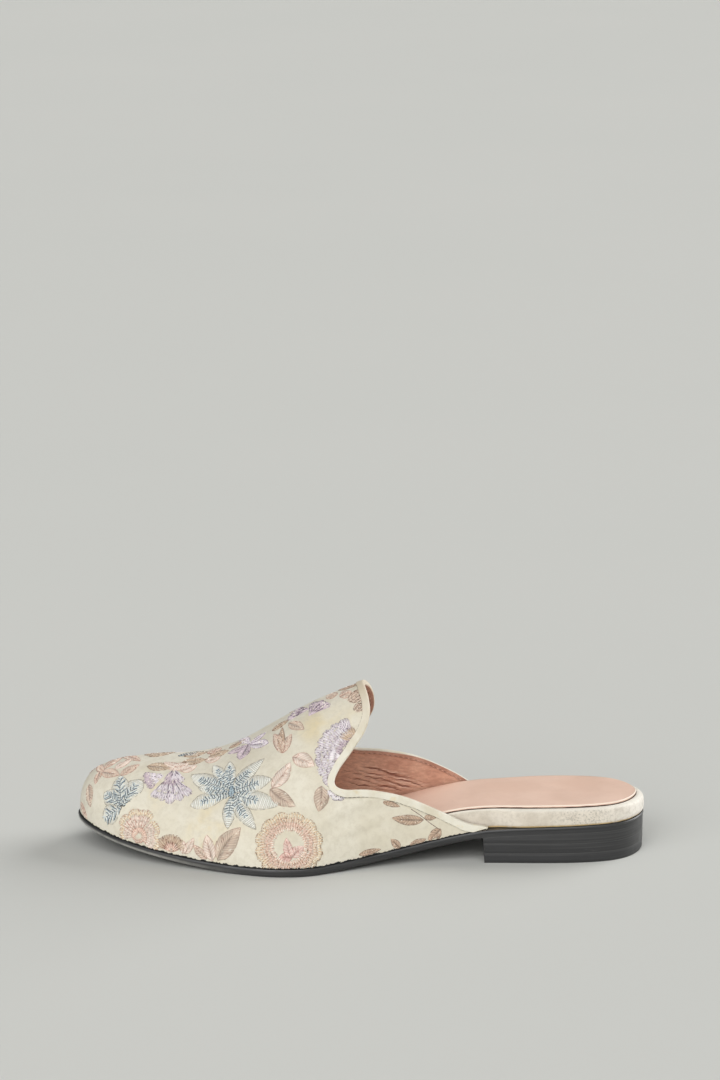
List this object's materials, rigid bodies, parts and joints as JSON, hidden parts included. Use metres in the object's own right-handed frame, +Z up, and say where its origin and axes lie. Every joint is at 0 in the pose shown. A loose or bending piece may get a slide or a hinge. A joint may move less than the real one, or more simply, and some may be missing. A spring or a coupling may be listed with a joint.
{
  "type": "backless loafer",
  "caption": "Left backless slip-on loafer with a high rounded vamp tab, bound topline, padded footbed, thin outsole and low stacked heel.",
  "frame": {"origin": "on the floor under the middle of the bounding box", "axes": "-X towards the toe, +X towards the heel, -Y towards the outer side of the left foot, +Z up"},
  "size_m": [0.256, 0.0884, 0.0761],
  "materials": {
    "outsole_leather": "black edge dressing, satin",
    "heel_leather": "black, satin, stacked layers",
    "top_lift_rubber": "black, matt",
    "footbed_satin": "cream satin, padded",
    "sock_leather": "peach, smooth",
    "upper_satin": "cream satin with floral thread embroidery, tan leather lining inside",
    "binding_satin": "cream satin tape"
  },
  "bodies": {
    "root": {"outsole": "outsole_leather", "heel_lift_1": "heel_leather", "heel_lift_2": "heel_leather", "heel_top_lift": "top_lift_rubber", "insole": "footbed_satin", "sock": "sock_leather", "upper": "upper_satin", "topline_binding": "binding_satin"}
  },
  "joints": []
}
